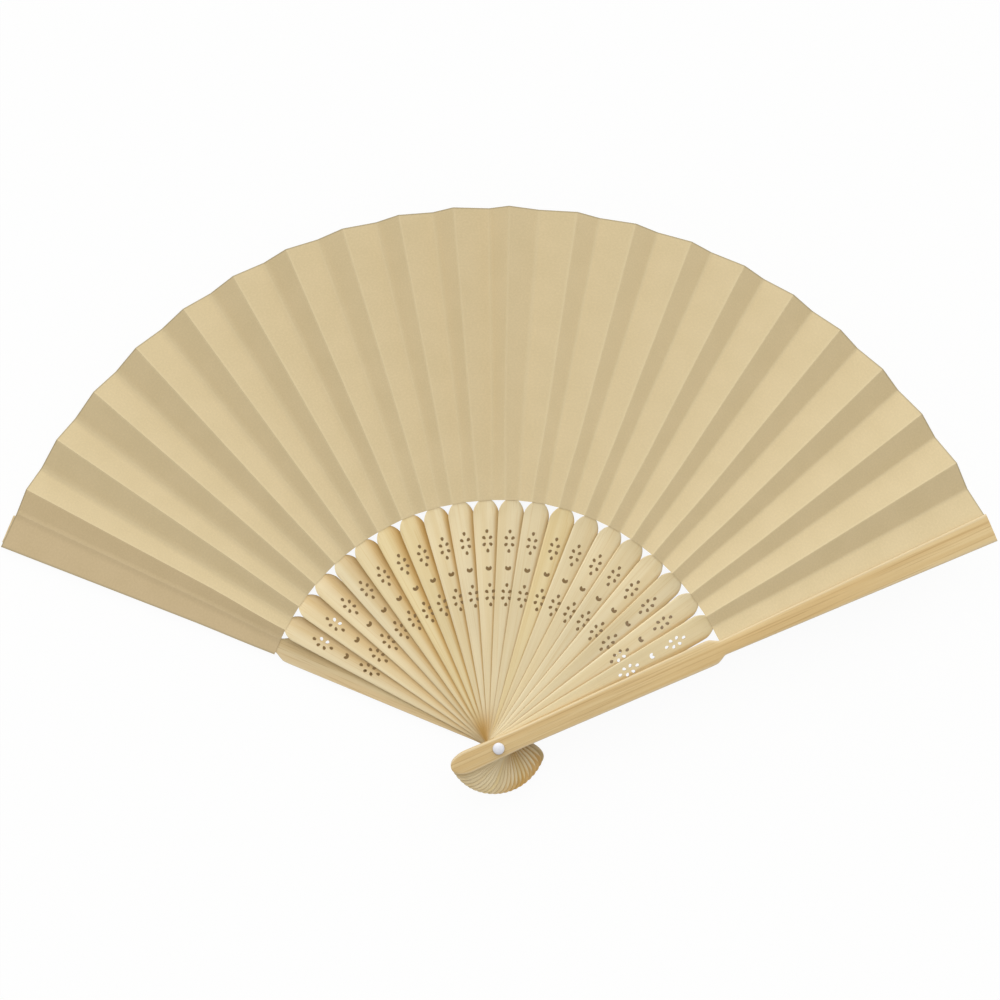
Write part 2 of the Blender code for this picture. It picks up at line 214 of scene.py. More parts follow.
def smooth_range(tree, value, low, high, to_low=0.0, to_high=1.0):
    """Map a value from one range to another with soft ends."""
    inputs = {0: value, 1: low, 2: high, 3: to_low, 4: to_high}
    made = node(tree, "ShaderNodeMapRange", inputs, interpolation_type="SMOOTHSTEP")
    return made.outputs[0]


def bumped(tree, height, distance, under=None):
    """The normal over a bump, on top of another bump's normal if one is given."""
    inputs = {"Height": height, "Distance": distance, "Strength": 1.0}
    if under is not None:
        inputs["Normal"] = under
    return node(tree, "ShaderNodeBump", inputs).outputs[0]


def finish_shader(tree, colour, roughness, ior, normal):
    """A Principled shader, wired to the output."""
    inputs = {"Base Color": colour, "Roughness": roughness, "IOR": ior, "Normal": normal}
    shader = node(tree, "ShaderNodeBsdfPrincipled", inputs)
    node(tree, "ShaderNodeOutputMaterial", {0: shader.outputs[0]})


print("helpers ready")

# %% [markdown]
# ## Bamboo
# Split bamboo shows fibres that run the whole length of a stick: fine ones less than half a
# millimetre apart, and broad streaks of a warmer tone. An image would need to be unwrapped; a
# noise stretched along the stick follows any shape. The pattern must not slide when a stick is
# turned, so each stick carries its own place from before it was turned, in an attribute named
# grain. Its number, named stick, shifts the pattern and the tone, and says how much shade is
# painted on it. Two more attributes say how warm a rib's wood is (warmth) and where a stick was
# cut through or sanded (cut). The front guard's sanded edges are paler, partly as bare wood and
# partly as a painted highlight, and painted light changes the sticks' brightness along them.


# %% Where shade is painted on a rib, in a golden tone
def painted_shade_share(tree, grain, stick):
    """How much shade is painted on a rib: most beside the rib above it, and round the rivet."""
    reach, across, _ = split(tree, grain)
    flare = (SHOULDER_WIDTH - WAIST_WIDTH) / 2 / (SHOULDER - WAIST)
    past = calc(tree, "MULTIPLY_ADD", reach, math.tan(STEP) - flare, across)
    past = calc(tree, "SUBTRACT", past, WAIST_WIDTH / 2 - flare * WAIST)
    past = calc(tree, "DIVIDE", past, calc(tree, "MAXIMUM", reach, 0.006))
    early = smooth_range(tree, stick, 8.0, 12.0, 1.0, 0.0)
    width = smooth_range(tree, stick, 0.0, 12.0, 0.105, 0.018)
    # Painted shade that the rib above throws beside its edge.
    side = product(
        tree,
        smooth_range(tree, past, 0.004, width, 1.0, 0.0),
        calc(tree, "MULTIPLY_ADD", early, 0.55, 0.42),
        smooth_range(tree, reach, 0.006, 0.016),
        smooth_range(tree, stick, 2.0, 6.0, 0.62, 1.0),
    )
    beyond = product(tree, reach, -math.tan(STEP))
    beyond = calc(tree, "SUBTRACT", beyond, HEAD_WIDTH / 2 - 0.0002)
    # Painted shade on the heads behind the rivet, next to the head above.
    behind = product(
        tree,
        smooth_range(tree, calc(tree, "SUBTRACT", beyond, across), 0.0001, 0.0010, 1.0, 0.0),
        smooth_range(tree, reach, -0.006, -0.003, 1.0, 0.0),
        smooth_range(tree, stick, 7.0, 13.0, 0.9, 0.1),
    )
    # Painted shade in the wedge between the stacked ribs near the rivet.
    notch = product(
        tree,
        smooth_range(tree, stick, 7.5, 15.5, 1.0, 0.0),
        smooth_range(tree, reach, 0.005, 0.016, 1.0, 0.0),
        smooth_range(tree, reach, -0.002, 0.002),
        smooth_range(tree, stick, 2.0, 6.0, 0.1, 1.0),
    )
    most = calc(tree, "MAXIMUM", calc(tree, "MAXIMUM", side, behind), notch)
    return product(tree, most, calc(tree, "LESS_THAN", stick, RIB_COUNT + 0.5))


print("golden tone ready")


# %% The bamboo materials
def bamboo(name, pale, warm, dark, golden, fibre, streak, edge_tone, bleached=1.0):
    """Bamboo with fibres along the stick, a tone for each stick and one for its cut faces."""
    made, tree = new_material(name)
    grain, stick = stored(tree, "grain", "Vector"), stored(tree, "stick")
    shift = vector(tree, product(tree, stick, 3.1), stick, 0.0)
    place = node(tree, "ShaderNodeVectorMath", {0: grain, 1: shift}).outputs[0]

    def stretched(along, across, detail):
        inputs = {"Vector": place, "Scale": (along, across, across)}
        return noise(tree, node(tree, "ShaderNodeMapping", inputs).outputs[0], 1.0, detail)

    broad = smooth_range(tree, stretched(9.0, 330.0, 2.0), 0.35, 0.68)
    fine = stretched(26.0, 2300.0, 3.0)
    hair = stretched(60.0, 6500.0, 1.0)
    tone = stretched(30.0, 60.0, 1.0)
    colour = blend_colours(tree, product(tree, broad, streak), pale, warm)
    line = smooth_range(tree, fine, 0.52, 0.72)
    colour = blend_colours(tree, product(tree, line, fibre), colour, dark)
    warmer = (0.975, 0.945, 0.830, 1.0)
    colour = blend_colours(tree, stored(tree, "warmth"), colour, warmer, "MULTIPLY")
    # The painted shade, multiplied in with the golden colour.
    colour = blend_colours(tree, painted_shade_share(tree, grain, stick), colour, golden, "MULTIPLY")
    own = node(tree, "ShaderNodeTexWhiteNoise", {"W": stick}, noise_dimensions="1D")
    reach = split(tree, grain)[0]
    # A tone for each stick and a cloudy one, a change past the leaf's edge, and painted light:
    # lighter towards the shoulder, where the tilted blades turn away from the light.
    tone_and_painted_light = product(
        tree,
        smooth_range(tree, own.outputs[0], 0.0, 1.0, 0.96, 1.03),
        smooth_range(tree, tone, 0.3, 0.7, 0.975, 1.02),
        smooth_range(tree, reach, 0.085, 0.105, 1.0, bleached),
        smooth_range(tree, reach, 0.040, 0.078, 0.985, 1.055),
    )
    # Painted light for the first ribs, whose tilt turns them towards the light: lighter near the
    # rivet and darker at the shoulder.
    left = smooth_range(tree, reach, 0.045, 0.078, 0.05, -0.04)
    left = product(tree, left, smooth_range(tree, stick, 4.0, 7.0, 1.0, 0.0))
    colour = brightened(tree, colour, calc(tree, "MULTIPLY_ADD", tone_and_painted_light, left, tone_and_painted_light))
    colour = blend_colours(tree, stored(tree, "cut"), colour, edge_tone)
    height = calc(tree, "ADD", fine, product(tree, hair, 0.5))
    roughness = smooth_range(tree, fine, 0.3, 0.7, 0.40, 0.56)
    finish_shader(tree, colour, roughness, 1.45, bumped(tree, height, 0.00003))
    return made


rib_bamboo = bamboo(
    "pale_rib_bamboo",
    pale=(0.775, 0.652, 0.426, 1.0),
    warm=(0.726, 0.583, 0.342, 1.0),
    dark=(0.640, 0.440, 0.190, 1.0),
    # The colour of the shade painted beside the rib above and round the rivet.
    golden=(0.810, 0.600, 0.310, 1.0),
    fibre=0.35,
    streak=0.8,
    edge_tone=(0.36, 0.20, 0.06, 1.0),
)
front_bamboo = bamboo(
    "front_guard_bamboo",
    pale=(0.700, 0.528, 0.280, 1.0),
    warm=(0.620, 0.432, 0.200, 1.0),
    dark=(0.430, 0.260, 0.100, 1.0),
    golden=(1.0, 1.0, 1.0, 1.0),
    fibre=0.6,
    streak=1.0,
    # Paler sanded edges: partly bare wood, partly a painted highlight.
    edge_tone=(0.690, 0.545, 0.335, 1.0),
    bleached=1.01,
)
back_bamboo = bamboo(
    "back_guard_bamboo",
    pale=(0.700, 0.565, 0.355, 1.0),
    warm=(0.640, 0.480, 0.270, 1.0),
    dark=(0.450, 0.290, 0.130, 1.0),
    # The colour of the shade painted beside the first rib.
    golden=(0.840, 0.780, 0.580, 1.0),
    fibre=0.5,
    streak=0.9,
    edge_tone=(0.700, 0.580, 0.390, 1.0),
)
print("bamboo materials:", rib_bamboo.name, front_bamboo.name, back_bamboo.name)

# %% [markdown]
# ## Paper
# The leaf is one sheet of plain paper. Paper has no direction, but it is cloudy: its pulp lies
# a little thicker here and there. A painted highlight runs along every crease, a shade lighter
# and strongest on the ridges, the cut rim is darker, a painted shade runs along the side edge of
# the first fold, and a bump rounds off the valleys. The first fold is glued to the back guard and
# looks darker. The attribute sheet holds each point's place on the flat sheet: the share of the
# way across the panels, the reach and the fold's number.


# %% The paper material
def paper(name, colour_full, colour_thin, crease_highlight_tone, rim_and_edge_shade_tone):
    """Cloudy matt paper: painted highlights on creases, painted edge shade, a darker cut rim."""
    made, tree = new_material(name)
    across, reach, number = split(tree, stored(tree, "sheet", "Vector"))
    width = product(tree, reach, math.tan(HALF_PANEL) * 2)
    place = vector(tree, product(tree, across, width), reach, number)
    pulp, fibres = noise(tree, place, 90.0, 4.0), noise(tree, place, 1500.0, 3.0)
    colour = blend_colours(tree, smooth_range(tree, pulp, 0.3, 0.7), colour_full, colour_thin)
    colour = brightened(tree, colour, smooth_range(tree, fibres, 0.35, 0.75, 0.97, 1.03))

    nearest = calc(tree, "ABSOLUTE", calc(tree, "SUBTRACT", across, calc(tree, "ROUND", across)))
    distance = product(tree, nearest, width)
    # Painted highlight along each crease, stronger on the ridges than in the valleys.
    crease = product(
        tree,
        smooth_range(tree, distance, 0.0001, 0.0008, 1.0, 0.0),
        smooth_range(tree, calc(tree, "PINGPONG", across, 1.0), 0.3, 0.7, 0.30, 0.15),
    )
    colour = blend_colours(tree, crease, colour, crease_highlight_tone)
    first = smooth_range(tree, number, 0.2, 0.8, 1.0, 0.0)
    tone = smooth_range(tree, across, 0.85, 1.15)
    tone = blend_colours(tree, tone, (0.870, 0.835, 0.820, 1.0), (0.950, 0.920, 0.900, 1.0))
    colour = blend_colours(tree, first, colour, tone, "MULTIPLY")
    # Painted shade along the side edge of the first fold.
    painted_edge_shade = smooth_range(tree, distance, 0.0002, 0.0007, 0.55, 0.0)
    painted_edge_shade = product(tree, painted_edge_shade, calc(tree, "LESS_THAN", across, 0.5), first)
    colour = blend_colours(tree, painted_edge_shade, colour, rim_and_edge_shade_tone)
    rim = smooth_range(tree, reach, LEAF_OUTER - 0.0006, LEAF_OUTER - 0.0001, 0.0, 0.7)
    colour = blend_colours(tree, rim, colour, rim_and_edge_shade_tone)

    bend = smooth_range(tree, number, 9.0, 12.0, 0.0020, 0.0008)
    away = calc(tree, "ABSOLUTE", calc(tree, "SUBTRACT", across, 1.0))
    away = calc(tree, "MINIMUM", product(tree, away, width), bend)
    curve = product(tree, away, away)
    curve = calc(tree, "DIVIDE", curve, product(tree, bend, 2.0))
    hollow = product(tree, calc(tree, "SUBTRACT", curve, away), STRIP_SLOPE)
    height = calc(tree, "ADD", fibres, product(tree, pulp, 2.0))
    normal = bumped(tree, height, 0.00002, bumped(tree, hollow, 1.0))
    finish_shader(tree, colour, 0.88, 1.35, normal)
    return made


leaf_paper = paper(
    "leaf_paper",
    colour_full=(0.652, 0.525, 0.318, 1.0),
    colour_thin=(0.672, 0.542, 0.333, 1.0),
    crease_highlight_tone=(0.730, 0.615, 0.400, 1.0),
    # The colour of the darker cut rim and of the painted shade on the first fold's side edge.
    rim_and_edge_shade_tone=(0.330, 0.270, 0.170, 1.0),
)
print("paper material:", leaf_paper.name)

# %% [markdown]
# ## Plastic
# The rivet is moulded in white plastic with a faint cold tint. It is almost smooth, with the
# faint orange-peel of a cheap mould.

# %% The rivet's plastic
rivet_plastic, tree = new_material("rivet_plastic")
peel = noise(tree, node(tree, "ShaderNodeTexCoord").outputs["Object"], 900.0)
shade = blend_colours(tree, peel, (0.80, 0.80, 0.87, 1.0), (0.70, 0.70, 0.77, 1.0))
gloss = smooth_range(tree, peel, 0.3, 0.7, 0.26, 0.36)
finish_shader(tree, shade, gloss, 1.46, bumped(tree, peel, 0.00004))
print("plastic material:", rivet_plastic.name)

# %% [markdown]
# ## The outline of a stick
# Each stick was sawn from a strip of bamboo: a blunt round head behind the rivet, a slim waist,
# a blade that widens to a shoulder, and from there a narrow tail that the leaf is glued to. A
# list of reaches and half widths says this exactly, and cosines and sines give the two curves.


# %% Stations along a stick
def rib_shoulder(reach):
    """Half width of a rib past its shoulder: the end is filed round."""
    past = min(max(reach - ROUND_START, 0.0) / ROUND_LENGTH, 1.0)
    return max(SHOULDER_WIDTH / 2 * math.sqrt(1.0 - past**1.6), RIB_NECK_WIDTH / 2)


def guard_shoulder(reach):
    """Half width of a guard past its shoulder: the corner is cut off straight."""
    past = reach - CORNER
    drop = CORNER_SLOPE * (past + math.hypot(past, CORNER_ROUNDING)) / 2
    return max(SHOULDER_WIDTH / 2 - drop, GUARD_NECK_WIDTH / 2)


def blade_stations(shoulder, head_bluntness):
    """Reach and half width from the blunt head to the neck past the shoulder."""
    stations = []
    for step in range(HEAD_STEPS + 1):
        turn = (HEAD_START + (1.0 - HEAD_START) * (step / HEAD_STEPS) ** 1.3) * math.pi / 2
        reach = -HEAD_REACH + HEAD_ROUNDING * (1.0 - math.cos(turn))
        stations.append((reach, HEAD_WIDTH / 2 * math.sin(turn) ** head_bluntness))
    stations.append((WAIST, WAIST_WIDTH / 2))
    stations.append((SHOULDER, SHOULDER_WIDTH / 2))
    for step in range(1, SHOULDER_STEPS + 1):
        reach = SHOULDER + (LEAF_INNER - SHOULDER) * step / SHOULDER_STEPS
        stations.append((reach, shoulder(reach)))
    return stations


def between(stations, spacing):
    """More stations, so that none are further apart than the spacing."""
    filled = [stations[0]]
    for near, far in zip(stations, stations[1:]):
        steps = max(1, math.ceil((far[0] - near[0]) / spacing))
        for i in range(1, steps + 1):
            share = i / steps
            filled.append(tuple(a + share * (b - a) for a, b in zip(near, far)))
    return filled


def ramp(value, start, end):
    """0 before start, 1 after end, and a smooth rise between them."""
    share = min(max((value - start) / (end - start), 0.0), 1.0)
    return share * share * (3.0 - 2.0 * share)


def loft(name, rings):
    """One closed body through a row of rings that have the same number of corners."""
    mesh = bpy.data.meshes.new(name)
    body = bmesh.new()
    rows = [[body.verts.new(corner) for corner in ring] for ring in rings]
    for near, far in zip(rows, rows[1:]):
        for i in range(len(near)):
            j = (i + 1) % len(near)
            body.faces.new((near[i], near[j], far[j], far[i]))
    body.faces.new(rows[0][::-1])
    body.faces.new(rows[-1])
    bmesh.ops.recalc_face_normals(body, faces=body.faces)
    body.to_mesh(mesh)
    body.free()
    return mesh


rib_outline = between(blade_stations(rib_shoulder, head_bluntness=1.0), spacing=0.0025)
rib_outline.append((STRIP_START, STRIP_ROOT_WIDTH / 2))
strip = [rib_outline[-1], (STRIP_END, STRIP_TIP_WIDTH / 2)]
rib_outline += between(strip, spacing=0.012)[1:]
guard_outline = between(blade_stations(guard_shoulder, head_bluntness=0.85), spacing=0.004)
tail = [guard_outline[-1], (LEAF_OUTER, GUARD_TIP_WIDTH / 2)]
guard_outline += between(tail, spacing=0.010)[1:]
print("stations of a rib:", len(rib_outline), "and of a guard:", len(guard_outline))

# %% [markdown]
# ## The blank of a rib
# A rib is as thin as a fingernail. It lies flat on the rivet, and the pleat that it carries
# turns it about its own length, so its section is tilted more and more towards the shoulder and
# wholly so under the leaf. Years of tumbling in a drum have rounded its upper edges: the section
# drops by a quarter of a millimetre over the last one.


# %% The rib's section, tilted
def rib_slope(reach):
    """How steeply the section is tilted: half by the blade, and half by the neck."""
    blade = min(max((reach - TAPER_START) / (SHOULDER - TAPER_START), 0.0), 1.0)
    return STRIP_SLOPE * (blade + ramp(reach, SHOULDER, LEAF_INNER)) / 2


RIB_EDGE_INSET, RIB_EDGE_DROP, STRIP_EDGE_SHARE = 0.0009, 0.00025, 0.2
WORN_EDGE = ((0.0, 1.0), (0.12, 0.62), (0.32, 0.30), (0.62, 0.07), (1.0, 0.0))


def rib_ring(reach, half):
    """Corners of the section: flat below, worn round above."""
    change = ramp(reach, SHOULDER, LEAF_INNER)
    thick = RIB_THICKNESS + change * (STRIP_THICKNESS - RIB_THICKNESS)
    edge = 1.0 - (1.0 - STRIP_EDGE_SHARE) * change
    arch = []
    for inset, drop in WORN_EDGE:
        across = half - inset * min(edge * RIB_EDGE_INSET, half * 0.8)
        arch.append((across, thick / 2 - drop * edge * RIB_EDGE_DROP))
    corners = [(-half, -thick / 2), (half, -thick / 2)] + arch
    corners += [(-across, up) for across, up in reversed(arch)]
    slope = rib_slope(reach)
    return [Vector((reach, across, up + slope * across)) for across, up in corners]


rib_blank = loft("rib_blank", [rib_ring(reach, half) for reach, half in rib_outline])
print("rib blank:", len(rib_blank.polygons), "faces")

# %% [markdown]
# ## Piercing a rib
# Two six-petalled flowers with a notched moon between them are punched through every rib. This
# is what Geometry Nodes are for: one petal is instanced on six points, the flower on two, and a
# Boolean takes them all out of the blank. The same tree then slides the blade along by the
# rib's slip, lays the rib at its own height and turns it about the rivet, so the twenty ribs
# are one tree with a few changed inputs. The flowers of each rib are a hair off their places,
# as hand work is, by a fixed seed.


# %% Helpers for Geometry Nodes
def new_tree(name, inputs):
    """A Geometry Nodes tree with named inputs. Each is a name, a socket kind and a default."""
    tree = bpy.data.node_groups.new(name, "GeometryNodeTree")
    tree.interface.new_socket("Geometry", in_out="INPUT", socket_type="NodeSocketGeometry")
    tree.interface.new_socket("Geometry", in_out="OUTPUT", socket_type="NodeSocketGeometry")
    for label, kind, default in inputs:
        socket = tree.interface.new_socket(label, in_out="INPUT", socket_type="NodeSocket" + kind)
        if default is not None:
            socket.default_value = default
    start = tree.nodes.new("NodeGroupInput")
    return tree, {socket.name: socket for socket in start.outputs}


def end_tree(tree, geometry, material):
    """Realize what is left of instances, set the material and end the tree."""
    solid = node(tree, "GeometryNodeRealizeInstances", {0: geometry}).outputs[0]
    dressed = node(tree, "GeometryNodeSetMaterial", {"Geometry": solid, "Material": material})
    node(tree, "NodeGroupOutput", {0: dressed.outputs[0]})


def store(tree, geometry, name, value, kind="FLOAT", domain="POINT"):
    """Store a value on the mesh under a name that a material can read."""
    inputs = {"Geometry": geometry, "Name": name, "Value": value}
    kinds = {"data_type": kind, "domain": domain}
    return node(tree, "GeometryNodeStoreNamedAttribute", inputs, **kinds).outputs[0]


def place_of(tree):
    """Where a point is."""
    return node(tree, "GeometryNodeInputPosition").outputs[0]


def moved(tree, geometry, **where):
    """The points moved to a Position or by an Offset."""
    inputs = {"Geometry": geometry, **where}
    return node(tree, "GeometryNodeSetPosition", inputs).outputs[0]


def add_object(name, data):
    """A new object in the scene."""
    made = bpy.data.objects.new(name, data)
    bpy.context.scene.collection.objects.link(made)
    return made


def settled(item):
    """An object's mesh as its modifiers leave it."""
    depsgraph = bpy.context.evaluated_depsgraph_get()
    return bpy.data.meshes.new_from_object(item.evaluated_get(depsgraph))


def soften(mesh, sharp_from):
    """Shade smooth, but for edges that turn by more than these degrees."""
    mesh.shade_smooth()
    mesh.set_sharp_from_angle(angle=math.radians(sharp_from))


def grow(name, mesh, tree, values):
    """Run a tree on a mesh with these inputs, and keep the result as a plain mesh object."""
    item = add_object(name, mesh)
    nodes = item.modifiers.new("tree", "NODES")
    nodes.node_group = tree
    for socket in tree.interface.items_tree:
        if socket.in_out == "INPUT" and socket.name in values:
            nodes[socket.identifier] = values[socket.name]
    result = settled(item)
    item.modifiers.clear()
    item.data = result
    result.name = name
    return item


print("geometry helpers ready")

# %% The piercing tree
rib_tree, given = new_tree(
    "pierced_rib",
    [
        ("Azimuth", "Float", 0.0),
        ("Height", "Float", 0.0),
        ("Number", "Float", 0.0),
        ("Slip", "Float", 0.0),
        ("Warmth", "Float", 0.0),
        ("Petal length", "Float", 0.00145),
        ("Petal width", "Float", 0.00115),
        ("Tip offset", "Float", 0.00345),
        ("Side along", "Float", 0.00118),
        ("Side across", "Float", 0.00116),
        ("Moon height", "Float", 0.0019),
        ("Moon width", "Float", 0.0022),
        ("Bore", "Float", BORE),
        ("Seed", "Int", 7),
        ("Bamboo", "Material", None),
    ],
)
t = rib_tree
PUNCH_HEIGHT, PETAL_SIDES, ROUND_SIDES = 0.006, 12, 32


def punch(sides, shape):
    """A tall closed prism whose section is moved into shape by the given function."""
    inputs = {"Vertices": sides, "Radius": 0.5, "Depth": PUNCH_HEIGHT}
    drum = node(t, "GeometryNodeMeshCylinder", inputs, fill_type="NGON").outputs[0]
    return moved(t, drum, Position=shape(*split(t, place_of(t))))


def petal_shape(x, y, z):
    """An oval with its inner end drawn to a point."""
    narrow = calc(t, "ADD", product(t, x, 0.45), 0.98)
    across = product(t, y, narrow, given["Petal width"])
    return vector(t, product(t, x, given["Petal length"]), across, z)


def moon_shape(x, y, z):
    """A disc with a wide bite out of its outer side."""
    bite = calc(t, "SUBTRACT", 1.0, product(t, calc(t, "ABSOLUTE", y), 2.9))
    outer = calc(t, "GREATER_THAN", x, 0.0)
    bite = product(t, calc(t, "MAXIMUM", bite, 0.0), 0.42, outer)
    along = product(t, calc(t, "SUBTRACT", x, bite), given["Moon height"])
    return vector(t, along, product(t, y, given["Moon width"]), z)


def bore_shape(x, y, z):
    """A round hole for the rivet."""
    across = product(t, y, given["Bore"])
    return vector(t, product(t, x, given["Bore"]), across, z)


petal = punch(PETAL_SIDES, petal_shape)
six = node(t, "GeometryNodeMeshCircle", {"Vertices": 6, "Radius": 1.0}).outputs[0]
x, y, _ = split(t, place_of(t))
is_side = calc(t, "GREATER_THAN", calc(t, "ABSOLUTE", y), 0.5)
reach_side = product(t, given["Side along"], is_side, 2.0)
reach_tip = product(t, given["Tip offset"], calc(t, "SUBTRACT", 1.0, is_side))
along = product(t, x, calc(t, "ADD", reach_side, reach_tip))
side_width = calc(t, "DIVIDE", given["Side across"], math.sin(math.pi / 3))
across = product(t, y, side_width)
places = moved(t, six, Position=vector(t, along, across, 0.0))
away = node(t, "FunctionNodeAlignRotationToVector", {"Vector": place_of(t)}, axis="X")
inputs = {"Points": places, "Instance": petal, "Rotation": away.outputs[0]}
flower = node(t, "GeometryNodeInstanceOnPoints", inputs).outputs[0]
print("flower of six petals made")

# %% The two flowers, the moon and the bore
FLOWER_DRIFT = (0.00016, 0.00010, 0.0)
apart = (UPPER_FLOWER - LOWER_FLOWER, 0.0, 0.0)
inputs = {"Count": 2, "Start Location": (LOWER_FLOWER, 0.0, 0.0), "Offset": apart}
pair = node(t, "GeometryNodeMeshLine", inputs, mode="OFFSET").outputs[0]
index = node(t, "GeometryNodeInputIndex").outputs[0]
drift_seed = calc(t, "ADD", given["Seed"], product(t, given["Number"], 13.0))
inputs = {0: [-most for most in FLOWER_DRIFT], 1: FLOWER_DRIFT, "ID": index, "Seed": drift_seed}
drift = node(t, "FunctionNodeRandomValue", inputs, data_type="FLOAT_VECTOR").outputs[0]
inputs = {"Points": moved(t, pair, Offset=drift), "Instance": flower}
flowers = node(t, "GeometryNodeInstanceOnPoints", inputs).outputs[0]
inputs = {"Geometry": punch(ROUND_SIDES, moon_shape), "Translation": (MOON, 0.0, 0.0)}
moon = node(t, "GeometryNodeTransform", inputs).outputs[0]
joined = t.nodes.new("GeometryNodeJoinGeometry")
for part in (flowers, moon, punch(ROUND_SIDES, bore_shape)):
    t.links.new(part, joined.inputs[0])
punches = node(t, "GeometryNodeRealizeInstances", {0: joined.outputs[0]}).outputs[0]
inputs = {"Mesh 1": given["Geometry"], "Mesh 2": punches}
pierced = node(t, "GeometryNodeMeshBoolean", inputs, operation="DIFFERENCE", solver="EXACT")
print("punches joined")

# %% The rib's attributes, its slip and its place
SLIP_STARTS, SLIP_ENDS = (0.010, 0.045), (0.090, 0.140)
upright = split(t, node(t, "GeometryNodeInputNormal").outputs[0])[2]
is_cut = calc(t, "LESS_THAN", calc(t, "ABSOLUTE", upright), 0.5)
rib = store(t, pierced.outputs[0], "cut", is_cut, domain="FACE")
rib = store(t, rib, "grain", place_of(t), "FLOAT_VECTOR")
rib = store(t, rib, "stick", given["Number"])
rib = store(t, rib, "warmth", given["Warmth"])
reach = split(t, place_of(t))[0]
starting = smooth_range(t, reach, *SLIP_STARTS)
ending = smooth_range(t, reach, *SLIP_ENDS, 1.0, 0.0)
slide = product(t, starting, ending, given["Slip"])
inputs = {
    "Geometry": moved(t, rib, Offset=vector(t, slide, 0.0, 0.0)),
    "Translation": vector(t, 0.0, 0.0, given["Height"]),
    "Rotation": node(
        t, "FunctionNodeEulerToRotation", {0: vector(t, 0.0, 0.0, given["Azimuth"])}
    ).outputs[0],
}
end_tree(t, node(t, "GeometryNodeTransform", inputs).outputs[0], given["Bamboo"])
print("piercing tree:", len(t.nodes), "nodes")

# %% The twenty ribs
# A few ribs were split from warmer wood than the others.
WARMTH = {5: 0.4, 6: 1.0, 7: 0.9, 8: 0.2, 13: 0.9, 20: 0.3}

for index in range(1, RIB_COUNT + 1):
    values = {
        "Azimuth": lie(index),
        "Height": stick_height(index),
        "Number": float(index),
        "Slip": SLIPS[index] / 1000,
        "Warmth": WARMTH.get(index, 0.0),
        "Bamboo": rib_bamboo,
    }
    piece = grow(f"bamboo_rib_{index:02d}", rib_blank, rib_tree, values)
    soften(piece.data, 32.0)
    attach(piece, stick_name(index))
    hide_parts(stick_name(index))
print("ribs: 20, faces of the last one:", len(piece.data.polygons))

# %% [markdown]
# ## The guards
# The two outer sticks are four times as thick as a rib and keep their width to the tip, because
# they cover the closed fan. Their outer side is slightly crowned and its edges are sanded round;
# the inner side thins to a bed where the folded leaf lies. They are lofted like the ribs, and a
# Boolean drills the rivet's bore. The back guard is the same blank, turned over.


# %% The guard's section
GUARD_CROWN, GUARD_ROUNDING, GUARD_CHAMFER, SANDED = 0.00015, 0.00045, 0.00015, 0.0007


def guard_ring(reach, half):
    """Corners of the section: a flat inner face below and a crowned, sanded one above."""
    bed = min(max((reach - TAPER_START) / TAPER_LENGTH, 0.0), 1.0)
    inner = bed * BED_DEPTH - GUARD_THICKNESS / 2
    crown = GUARD_THICKNESS / 2
    arch = []
    for step in range(5):
        turn = step / 4 * math.pi / 2
        up = crown - GUARD_CROWN - GUARD_ROUNDING * (1.0 - math.sin(turn))
        arch.append((half - GUARD_ROUNDING * (1.0 - math.cos(turn)), up))
    for share in (0.75, 0.5, 0.25, 0.0):
        arch.append((share * half, crown - GUARD_CROWN * share**2))
    low = inner + GUARD_CHAMFER
    corners = [(GUARD_CHAMFER - half, inner), (half - GUARD_CHAMFER, inner), (half, low)] + arch
    corners += [(-across, up) for across, up in reversed(arch[:-1])] + [(-half, low)]
    return [Vector((reach, across, up)) for across, up in corners]


def drilled(mesh, diameter):
    """A copy of the mesh with a round hole along Z at the origin."""
    body = bmesh.new()
    radius = diameter / 2
    bmesh.ops.create_cone(
        body, cap_ends=True, segments=ROUND_SIDES, radius1=radius, radius2=radius, depth=0.01
    )
    drill = bpy.data.meshes.new("drill")
    body.to_mesh(drill)
    body.free()
    tool, blank = add_object("drill", drill), add_object("blank", mesh)
    cut = blank.modifiers.new("bore", "BOOLEAN")
    cut.operation, cut.solver, cut.object = "DIFFERENCE", "EXACT", tool
    result = settled(blank)
    for item in (tool, blank):
        bpy.data.objects.remove(item)
    return result


guard_blank = drilled(loft("guard_blank", [guard_ring(r, h) for r, h in guard_outline]), BORE)
print("guard blank:", len(guard_blank.polygons), "faces")


# %% The two guards
# The numbers that shift the guards' patterns. The front one's is past all the ribs' numbers, so
# that no shade is painted on it.
BACK_NUMBER, FRONT_NUMBER = 0.0, 52.0


